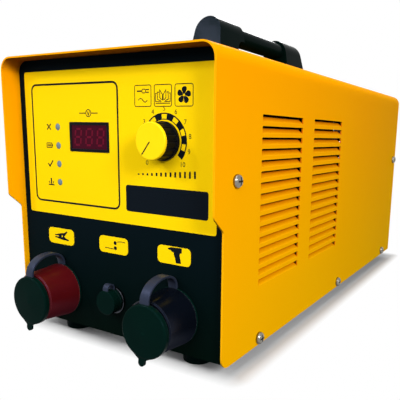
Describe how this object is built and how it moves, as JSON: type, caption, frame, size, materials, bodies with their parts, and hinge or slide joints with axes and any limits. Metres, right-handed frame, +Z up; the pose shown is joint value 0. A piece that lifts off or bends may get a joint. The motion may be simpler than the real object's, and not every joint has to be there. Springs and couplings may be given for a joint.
{
  "type": "stud welder",
  "caption": "Portable capacitor-discharge stud welder in a louvred yellow case, with a carrying handle, a voltage dial and display, two capped welding sockets and a capped trigger connector.",
  "frame": {"origin": "floor level, under the middle of the machine's whole outline", "axes": "+Z up, +Y from the front panel to the rear panel, +X to the right as seen by a user who faces the front panel"},
  "size_m": [0.207, 0.5012, 0.2728],
  "materials": {
    "case_paint": "smooth baked enamel, satin gloss",
    "black_paint": "fine-textured powder coat",
    "plated_steel": "zinc-plated",
    "bright_chrome": "bright plated",
    "handle_plastic": "satin moulded",
    "black_plastic": "moulded",
    "red_plastic": "moulded, glossy",
    "black_rubber": "matt moulded",
    "label_film": "printed polyester film",
    "knob_yellow": "moulded, satin",
    "display_red": "tinted, glossy",
    "lamp_lens": "diffused resin",
    "brass": "turned",
    "copper": "bare bar",
    "insulation_fibre": "matt vulcanised fibre",
    "circuit_board": "solder-masked laminate",
    "can_sleeve": "shrink sleeve",
    "core_steel": "stacked laminations",
    "winding_tape": "taped winding",
    "aluminium": "extruded"
  },
  "bodies": {
    "chassis": {"cover": "case_paint", "base_tray": "plated_steel", "front_panel": "black_paint", "rear_panel": "black_paint", "handle": "handle_plastic", "handle_screws": "plated_steel", "cover_screws": "bright_chrome", "rubber_feet": "black_rubber", "foot_screws": "plated_steel", "control_label": "label_film", "socket_labels": "label_film", "display_bezel": "black_plastic", "display_filter": "display_red", "display_module": "display_red", "display_board": "circuit_board", "standoffs": "brass", "indicator_lamps": "lamp_lens", "potentiometer": "plated_steel", "potentiometer_nut": "plated_steel", "red_socket_shell": "red_plastic", "red_socket_contact": "brass", "red_socket_nut": "black_plastic", "red_strap": "black_rubber", "black_socket_shell": "black_plastic", "black_socket_contact": "brass", "black_socket_nut": "black_plastic", "black_strap": "black_rubber", "trigger_shell": "plated_steel", "trigger_insert": "black_plastic", "trigger_nut": "plated_steel", "trigger_strap": "black_rubber", "capacitors": "can_sleeve", "capacitor_clamp": "plated_steel", "busbars": "copper", "output_bars": "copper", "control_board": "circuit_board", "board_components": "black_plastic", "transformer_core": "core_steel", "transformer_winding": "winding_tape", "transformer_bracket": "plated_steel", "heat_sink": "aluminium", "thyristor_module": "black_plastic", "rectifier_bridge": "black_plastic", "insulation_sheets": "insulation_fibre", "fan_frame": "black_plastic", "fan_guard": "bright_chrome", "fan_screws": "plated_steel", "power_switch_body": "black_plastic", "cable_gland": "black_plastic", "gland_nut": "black_plastic"},
    "dial_knob": {"knob_shaft": "plated_steel", "knob": "black_plastic", "knob_cap": "knob_yellow"},
    "red_dust_cap": {"red_cap": "black_rubber"},
    "black_dust_cap": {"black_cap": "black_rubber"},
    "trigger_dust_cap": {"trigger_cap": "black_rubber"},
    "fan_wheel": {"fan_rotor": "black_plastic"},
    "switch_rocker": {"power_rocker": "red_plastic"}
  },
  "joints": [
    {"name": "dial_turn", "type": "hinge", "parent": "chassis", "child": "dial_knob", "pos_m": [0.0493, -0.2234, 0.1626], "axis": [0, 1, 0], "range_deg": [0, 284]},
    {"name": "red_cap_pull", "type": "slide", "parent": "chassis", "child": "red_dust_cap", "axis": [0, -1, 0], "range_m": [0, 0.01], "deforming": ["red_strap"]},
    {"name": "black_cap_pull", "type": "slide", "parent": "chassis", "child": "black_dust_cap", "axis": [0, -1, 0], "range_m": [0, 0.01], "deforming": ["black_strap"]},
    {"name": "trigger_cap_pull", "type": "slide", "parent": "chassis", "child": "trigger_dust_cap", "axis": [0, -1, 0], "range_m": [0, 0.0054], "deforming": ["trigger_strap"]},
    {"name": "fan_spin", "type": "hinge", "parent": "chassis", "child": "fan_wheel", "pos_m": [0, 0.2136, 0.148], "axis": [0, 1, 0], "continuous": true},
    {"name": "rocker_tilt", "type": "hinge", "parent": "chassis", "child": "switch_rocker", "pos_m": [-0.062, 0.2276, 0.055], "axis": [-1, 0, 0], "range_deg": [0, 18]}
  ]
}
